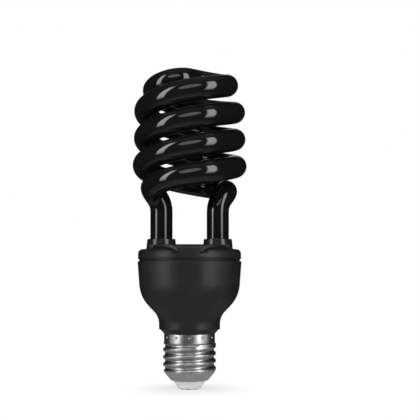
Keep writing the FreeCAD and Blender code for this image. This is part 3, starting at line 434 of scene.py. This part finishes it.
def rolled_nickel():
    """Nickel-plated sheet with fine marks that run round it. Its colour holds painted shade in the thread's
    grooves and a painted lighter tone on the crests and the nose.

    The marks are a pattern on the unrolled sheet, stretched along the turn and squeezed along the height.
    """
    nickel = Finish("rolled_nickel", Metallic=1.0)
    x, y, z = nickel.axes(nickel.place)
    from_axis = nickel.length(x, y)
    along = nickel.times(nickel.math("ARCTAN2", y, x), 0.004)
    unrolled = nickel.add("CombineXYZ", along, nickel.times(z, 8.0), from_axis).outputs[0]
    marks = nickel.noise(900, 3, 0.6, unrolled)
    crest = nickel.spread(from_axis, GROOVE_RADIUS, CREST_RADIUS, 0.0, 0.84)
    nose = nickel.spread(z, NOSE_TOP_Z, NOSE_TOP_Z + 0.8 * MM, 1.0, 0.0)
    cloud = nickel.noise(300, 3)
    # Painted light and shade: the colour is lighter on the thread's crests and the nose, darker in its
    # grooves, with a random mottle besides.
    painted_light_and_mottle = nickel.plus(nickel.times(nickel.larger(crest, nose), 0.7), nickel.times(cloud, 0.5))
    return nickel.use(Base_Color=nickel.tint(painted_light_and_mottle, (0.31, 0.307, 0.303), (0.675, 0.668, 0.658)),
                      Roughness=nickel.spread(marks, 0.3, 0.7, 0.26, 0.36),
                      Normal=nickel.bump(marks, 0.02 * MM))


def plain_finish(name, dark, light, roughness, metallic=0.0, scale=900, relief=0.01 * MM):
    """Material with a fine two-tone mottle and a slight relief."""
    made = Finish(name, Metallic=metallic)
    cloud = made.noise(scale, 3)
    return made.use(Base_Color=made.tint(cloud, dark, light),
                    Roughness=made.spread(cloud, 0, 1, roughness - 0.06, roughness + 0.06),
                    Normal=made.bump(cloud, relief))


PLAIN_FINISHES = {
    "insulator_plastic": dict(dark=(0.70, 0.70, 0.695), light=(0.74, 0.74, 0.735), roughness=0.62),
    "contact_metal": dict(dark=(0.76, 0.75, 0.73), light=(0.84, 0.83, 0.81), roughness=0.38, metallic=1.0,
                          relief=0.004 * MM),
    "tube_cement": dict(dark=(0.50, 0.48, 0.44), light=(0.66, 0.64, 0.60), roughness=0.85, scale=1500,
                        relief=0.04 * MM),
    "board_laminate": dict(dark=(0.30, 0.19, 0.08), light=(0.40, 0.26, 0.12), roughness=0.55, scale=700),
    "capacitor_sleeve": dict(dark=(0.012, 0.015, 0.05), light=(0.02, 0.03, 0.08), roughness=0.3),
    "dipped_film": dict(dark=(0.28, 0.05, 0.02), light=(0.38, 0.07, 0.03), roughness=0.25),
    "component_black": dict(dark=(0.012, 0.012, 0.012), light=(0.022, 0.022, 0.022), roughness=0.5),
    "resistor_body": dict(dark=(0.45, 0.34, 0.18), light=(0.58, 0.45, 0.26), roughness=0.4),
    "signal_glass": dict(dark=(0.40, 0.08, 0.03), light=(0.55, 0.13, 0.05), roughness=0.1),
    "ferrite": dict(dark=(0.03, 0.03, 0.033), light=(0.05, 0.05, 0.055), roughness=0.7, scale=3000),
    "bobbin_plastic": dict(dark=(0.02, 0.02, 0.02), light=(0.03, 0.03, 0.03), roughness=0.35),
    "enamelled_copper": dict(dark=(0.42, 0.13, 0.05), light=(0.62, 0.24, 0.1), roughness=0.25, metallic=0.8,
                             scale=4000),
    "live_insulation": dict(dark=(0.40, 0.03, 0.02), light=(0.5, 0.05, 0.03), roughness=0.4),
    "neutral_insulation": dict(dark=(0.02, 0.02, 0.022), light=(0.03, 0.03, 0.034), roughness=0.4),
    "tinned_wire": dict(dark=(0.5, 0.5, 0.48), light=(0.62, 0.62, 0.6), roughness=0.3, metallic=1.0,
                        scale=5000),
}
FINISHES = {
    "black_glass": black_filter_glass(),
    "case_plastic": case_plastic(),
    "shell_metal": rolled_nickel(),
    **{slot: plain_finish(slot, **look) for slot, look in PLAIN_FINISHES.items()},
}


# Studio

WHITE = (1, 1, 1, 1)
HARD = 0.001                  # share of a light's size over which a hard edge fades


def studio_world():
    """White to the camera, and an even fill to matt surfaces.

    Polished surfaces see a pale patch of the backdrop straight behind the lamp, a dimmer upright strip
    through it, a dim ceiling and a dark room elsewhere.
    """
    fill, room, ceiling, patch, strip = 0.55, 0.012, 0.12, 0.5, 0.16
    patch_edge, patch_core = math.cos(math.radians(22)), math.cos(math.radians(10))
    strip_edge, strip_core = 0.30, 0.12
    strip_top_edge, strip_top_core = 0.85, 0.5
    ceiling_edge, ceiling_core = 0.75, 0.97
    world = bpy.data.worlds.new("studio")
    bpy.context.scene.world = world
    world.use_nodes = True
    made = Nodes(world.node_tree)
    made.nodes.clear()
    seen, mirrored, matt = made.rays()
    sideways, backwards, upwards = made.axes(made.add("TexCoord").outputs["Generated"])
    overhead = made.spread(upwards, ceiling_edge, ceiling_core, room, ceiling, smooth=True)
    behind = made.spread(backwards, patch_edge, patch_core, 0, patch, smooth=True)
    in_strip = made.spread(made.math("ABSOLUTE", sideways), strip_edge, strip_core, 0, strip, smooth=True)
    below_ceiling = made.spread(upwards, strip_top_edge, strip_top_core, smooth=True)
    at_the_back = made.math("GREATER_THAN", backwards, 0.0)
    backdrop = made.larger(behind, made.times(in_strip, made.times(below_ceiling, at_the_back)))
    dim = made.add("Background", (0.8, 0.8, 0.8, 1), made.spread(matt, 0, 1, overhead, fill))
    bright = made.add("Background", WHITE, 1.0)
    white = made.larger(seen, made.times(mirrored, backdrop))
    mix = made.add("MixShader", white, dim.outputs[0], bright.outputs[0])
    made.add("OutputWorld", mix.outputs[0])


def floor_paint():
    """Matt pale paint that keeps a part of the lamp's soft shadow and runs out into the white background.

    Polished surfaces see a painted glow on it, bright in front of the lamp's foot and dark far away.
    """
    shadow_reach, shadow_cover = 0.036, 0.55
    glow_centre, glow_start, glow_reach = (0, -0.045, 0), 0.02, 0.20
    glow_near, glow_far = 0.34, 0.012
    paint = bpy.data.materials.new("floor_paint")
    paint.use_nodes = True
    made = Nodes(paint.node_tree)
    surface = made.nodes["Principled BSDF"]
    made.name_sockets(surface, Base_Color=(0.82, 0.82, 0.82, 1), Roughness=0.9)
    place = made.add("TexCoord").outputs["Object"]
    from_lamp = made.add("VectorMath", place, operation="LENGTH").outputs["Value"]
    from_glow = made.add("VectorMath", place, glow_centre, operation="DISTANCE").outputs["Value"]
    seen, mirrored, _ = made.rays()
    # Painted glow, seen only by polished and clear surfaces: bright in front of the lamp's foot, dim far
    # away.
    bright = made.spread(from_glow, glow_start, glow_reach, glow_near, glow_far, smooth=True)
    glow = made.add("Emission", WHITE, made.larger(seen, made.times(mirrored, bright)))
    covered = made.times(seen, made.spread(from_lamp, 0.0, shadow_reach, shadow_cover, 1.0, smooth=True))
    mix = made.add("MixShader", made.larger(covered, mirrored), surface.outputs[0], glow.outputs[0])
    made.feed(made.nodes["Material Output"].inputs[0], mix.outputs[0])
    return paint


def pale_floor(half=4.0):
    """Flat square under the cap."""
    mesh = bpy.data.meshes.new("floor")
    corners = np.array([[-half, -half, 0], [half, -half, 0], [half, half, 0], [-half, half, 0]])
    mesh.from_pydata(corners, [], [[0, 1, 2, 3]])
    floor = bpy.data.objects.new("floor", mesh)
    bpy.context.scene.collection.objects.link(floor)
    mesh.materials.append(floor_paint())
    return floor


def soft_edges(light, side, top, bottom):
    """Dims an area light next to its sides, its top and its bottom, over these shares of its size."""
    rim, lower_rim = 0.15, 0.3
    light.use_nodes = True
    made = Nodes(light.node_tree)
    made.nodes.clear()
    across, upward, _ = made.axes(made.add("NewGeometry").outputs["Parametric"])
    from_middle = made.math("ABSOLUTE", made.minus(across, 0.5))
    sides = made.spread(from_middle, 0.5, 0.5 - side, rim, 1, smooth=True)
    upper = made.spread(upward, 1, 1 - top, rim, 1, smooth=True)
    lower = made.spread(upward, 0, bottom, lower_rim, 1, smooth=True)
    glow = made.add("Emission", WHITE, made.times(sides, made.times(upper, lower)))
    made.add("OutputLight", glow.outputs[0])


def area_light(name, shape, width, height, radiance, place, lit=None):
    """Soft light that the camera doesn't see, on the lit pieces only, or on everything if none are given.

    Its power is radiance times pi times its area.
    """
    light = bpy.data.lights.new(name, "AREA")
    light.shape = shape
    light.size, light.size_y = width, height
    area = width * height * (math.pi / 4 if shape == "ELLIPSE" else 1)
    light.energy = radiance * math.pi * area
    lamp = bpy.data.objects.new(name, light)
    lamp.matrix_world = place
    lamp.visible_camera = False
    bpy.context.scene.collection.objects.link(lamp)
    lamp.light_linking.receiver_collection = lit
    return light


def facing_lamp(azimuth, distance, height):
    """Place of a light that faces the lamp. Azimuth 0 is the camera's side, and grows to the right."""
    return (Matrix.Rotation(math.radians(azimuth), 4, "Z") @ Matrix.Translation((0, -distance, height))
            @ Matrix.Rotation(math.radians(90), 4, "X"))


def softbox(name, azimuth, distance, low, high, width, lean, radiance, lit, top, bottom):
    """Softbox from low to high above the floor, leaning sideways by lean degrees, clockwise for the lamp."""
    place = facing_lamp(azimuth, distance, (low + high) / 2) @ Matrix.Rotation(math.radians(lean), 4, "Z")
    light = area_light(name, "RECTANGLE", width, high - low, radiance, place, lit)
    soft_edges(light, side=0.2, top=top, bottom=bottom)


def card(name, azimuth, distance, width, radiance, lit):
    """Low pale card beside the lamp, which lights the screw cap and the foot of the case from the side."""
    height, above_floor = 0.07, 0.003
    place = facing_lamp(azimuth, distance, height / 2 + above_floor)
    light = area_light(name, "RECTANGLE", width, height, radiance, place, lit)
    soft_edges(light, side=0.05, top=0.4, bottom=HARD)


def group(name, pieces):
    """Pieces that a light shines on, as a collection that isn't in the scene itself."""
    made = bpy.data.collections.new(name)
    for piece in pieces:
        made.objects.link(piece)
    return made


def lights(glass, floor):
    """Two low cards, two upright softboxes each for the glass and for the rest, and a light overhead.

    The glass sees softboxes that fade at their low ends, and no cards. The case, cap and floor see the rest.
    """
    glass = group("glass", [glass])
    case = group("case_and_cap", list(frame["nodes"].values()) + [floor])
    card("card_left", azimuth=-66, distance=0.25, width=0.26, radiance=1.0, lit=case)
    card("card_right", azimuth=57, distance=0.29, width=0.30, radiance=1.45, lit=case)
    left = dict(azimuth=-52.5, distance=0.24, width=0.084, lean=-4)
    right = dict(azimuth=43.5, distance=0.28, width=0.112, lean=0)
    for_glass = dict(lit=glass, low=0.035, top=0.3, bottom=0.22)
    for_case = dict(lit=case, low=0.015, top=0.8, bottom=HARD)
    softbox("softbox_left_glass", high=0.44, radiance=6.2, **left, **for_glass)
    softbox("softbox_right_glass", high=0.50, radiance=5.6, **right, **for_glass)
    softbox("softbox_left_case", high=0.40, radiance=5.7, **left, **for_case)
    softbox("softbox_right_case", high=0.44, radiance=5.8, **right, **for_case)
    above = Matrix.Translation((-0.03, -0.52, 0.42)) @ Matrix.Rotation(math.radians(60), 4, "X")
    area_light("overhead", "ELLIPSE", width=0.46, height=0.33, radiance=1.8, place=above)


def camera():
    """Stands 460 mm in front of the lamp and 55 mm up, and looks a little up and to the right."""
    upward, rightward = math.radians(2.822), math.radians(1.283)
    data = bpy.data.cameras.new("camera")
    data.lens = 79.17
    data.sensor_width = 36.0
    data.shift_x, data.shift_y = -0.0007, 0.0503
    data.clip_start, data.clip_end = 0.01, 50
    made = bpy.data.objects.new("camera", data)
    made.location = (0, -0.4599, 0.05545)
    made.rotation_euler = (math.radians(90) + upward, 0, -rightward)
    bpy.context.scene.collection.objects.link(made)
    bpy.context.scene.camera = made


for part in frame["record"]["subparts"]:
    for held in frame["nodes"][part["node"]].material_slots:
        held.material = FINISHES[part["material_slot"]]

spiral = glass_spiral(FINISHES["black_glass"])
studio_world()
lights(spiral, pale_floor())
camera()
bpy.context.scene.view_settings.view_transform = "Standard"
